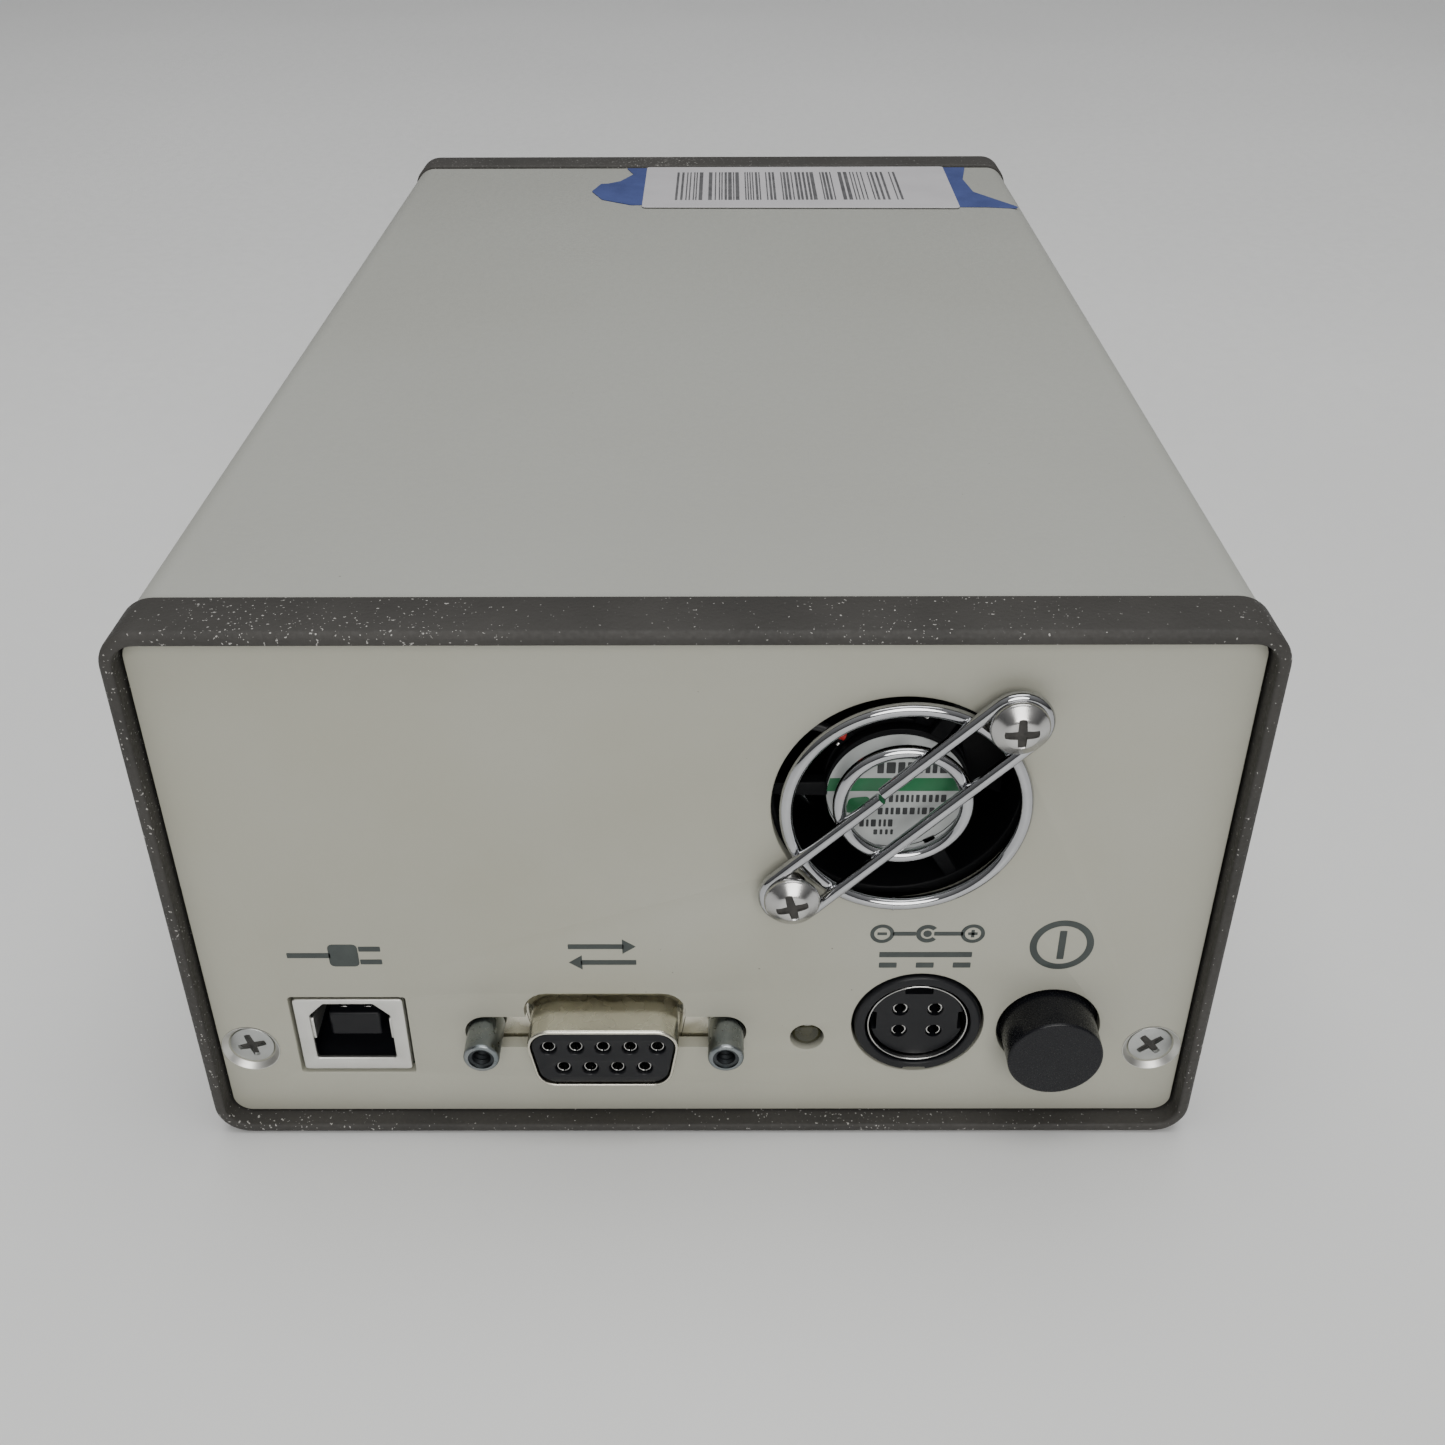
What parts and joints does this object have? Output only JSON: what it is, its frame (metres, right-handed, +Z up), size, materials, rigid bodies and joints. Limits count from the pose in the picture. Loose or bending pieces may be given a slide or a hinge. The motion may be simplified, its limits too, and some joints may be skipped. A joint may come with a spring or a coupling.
{
  "type": "cooled astronomy camera",
  "caption": "Boxed cooled camera with a connector panel and guarded fan at one end and a 1.25 inch nosepiece at the other.",
  "frame": {"origin": "bottom centre of the whole object's box, on the surface that the two bezels stand on", "axes": "+X to the right seen from the connector panel, +Y from the connector panel towards the telescope, +Z up"},
  "size_m": [0.104, 0.2046, 0.062],
  "materials": {
    "cover_paint": "light grey powder coat, fine orange peel",
    "panel_paint": "light grey powder coat",
    "bezel_paint": "dark grey gritty powder coat",
    "tray_metal": "brushed sheet",
    "screw_metal": "bright nickel plate",
    "zinc_metal": "blue zinc plate",
    "tin_metal": "tin plate, satin",
    "black_plastic": "moulded, matt",
    "button_plastic": "moulded, satin",
    "lamp_lens": "smoked, unlit",
    "spring_metal": "drawn",
    "guard_chrome": "bright chrome wire",
    "motor_metal": "lacquered laminations and copper",
    "board_green": "solder mask",
    "red_wire": "wire insulation",
    "black_wire": "wire insulation",
    "ribbon_film": "amber film",
    "black_anodised": "black anodised",
    "bare_aluminium": "machined",
    "window_glass": "clear, coated",
    "seal_rubber": "moulded",
    "chip_ceramic": "ceramic package",
    "cooler_ceramic": "white ceramic",
    "copper_metal": "machined copper"
  },
  "bodies": {
    "root": {"top_cover": "cover_paint", "base_tray": "tray_metal", "rear_bezel": "bezel_paint", "front_bezel": "bezel_paint", "rear_panel": "panel_paint", "front_panel": "panel_paint", "rear_screw_left": "screw_metal", "rear_screw_right": "screw_metal", "front_screw_left": "screw_metal", "front_screw_right": "screw_metal", "usb_shell": "tin_metal", "usb_insulator": "black_plastic", "dsub_shell": "tin_metal", "dsub_insert": "black_plastic", "jackscrew_left": "zinc_metal", "jackscrew_right": "zinc_metal", "din_housing": "black_plastic", "din_ring": "tin_metal", "din_insert": "black_plastic", "status_led": "lamp_lens", "switch_body": "black_plastic", "switch_spring": "spring_metal", "fan_frame": "black_plastic", "fan_bearing": "spring_metal", "fan_stator": "motor_metal", "finger_guard": "guard_chrome", "guard_screw_upper": "screw_metal", "guard_screw_lower": "screw_metal", "guard_nut_upper": "zinc_metal", "guard_nut_lower": "zinc_metal", "fan_lead_red": "red_wire", "fan_lead_black": "black_wire", "main_board": "board_green", "board_screw_1": "screw_metal", "board_screw_2": "screw_metal", "board_screw_3": "screw_metal", "board_screw_4": "screw_metal", "flex_cable": "ribbon_film", "mount_ring": "black_anodised", "nosepiece": "black_anodised", "ring_screw_1": "screw_metal", "ring_screw_2": "screw_metal", "ring_screw_3": "screw_metal", "shutter_plate": "bare_aluminium", "shutter_motor": "zinc_metal", "chamber_body": "bare_aluminium", "chamber_window": "window_glass", "window_seal": "seal_rubber", "window_retainer": "black_anodised", "image_sensor": "chip_ceramic", "sensor_board": "board_green", "cold_finger": "copper_metal", "cooler_module": "cooler_ceramic", "heat_sink": "bare_aluminium", "desiccant_plug": "black_anodised"},
    "power_button": {"power_button": "button_plastic"},
    "fan_rotor": {"fan_rotor": "black_plastic", "fan_shaft": "spring_metal"},
    "shutter_blade": {"shutter_blade": "black_anodised"}
  },
  "joints": [
    {"name": "power_button_press", "type": "slide", "parent": "root", "child": "power_button", "axis": [0, 1, 0], "range_m": [0, 0.0025], "stiffness_N_per_m": 400, "deforming": ["switch_spring"]},
    {"name": "fan_spin", "type": "hinge", "parent": "root", "child": "fan_rotor", "pos_m": [0.0189, -0.09095, 0.04275], "axis": [0, 1, 0], "continuous": true},
    {"name": "shutter_swing", "type": "hinge", "parent": "root", "child": "shutter_blade", "pos_m": [0.026, 0.06325, 0.046], "axis": [0, -1, 0], "range_deg": [0, 60]}
  ]
}
